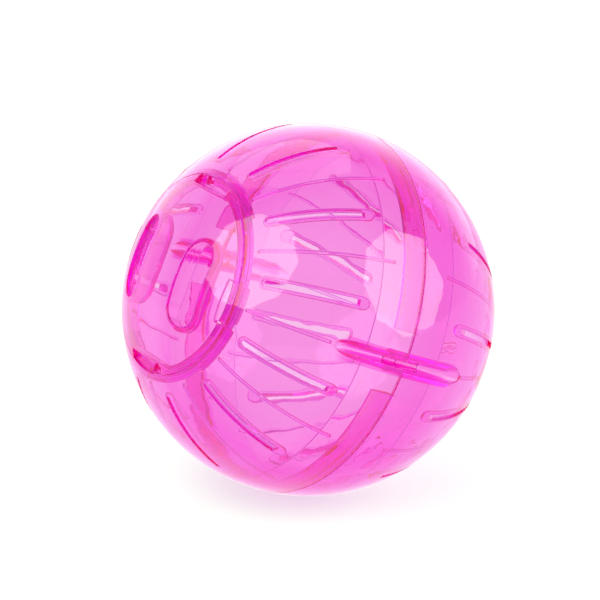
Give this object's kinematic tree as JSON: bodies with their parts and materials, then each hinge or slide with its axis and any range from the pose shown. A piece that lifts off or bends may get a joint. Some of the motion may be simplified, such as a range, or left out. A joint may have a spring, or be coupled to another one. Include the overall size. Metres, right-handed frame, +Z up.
{
  "type": "hamster exercise ball",
  "caption": "Clear pink hamster exercise ball: two slotted half shells joined at a lipped seam with latch channels, and a round twist-lock door with finger wells",
  "frame": {"origin": "the point where the closed ball touches the ground", "axes": "+Z is up; X runs through the two latches; the door faces -Y and up, along an axis 23.7 degrees above the ground"},
  "size_m": [0.14, 0.14, 0.14],
  "materials": {
    "clear_pink": "clear polished pink plastic"
  },
  "bodies": {
    "rear": {"rear_shell": "clear_pink"},
    "front": {"front_shell": "clear_pink"},
    "lid": {"door": "clear_pink"}
  },
  "joints": [
    {"name": "halves_apart", "type": "slide", "parent": "rear", "child": "front", "axis": [0, -0.9157, 0.4019], "range_m": [0, 0.06]},
    {"name": "door_turn", "type": "hinge", "parent": "front", "child": "lid", "pos_m": [0, 0, 0.07], "axis": [0, -0.9157, 0.4019], "range_deg": [-30, 29]}
  ]
}
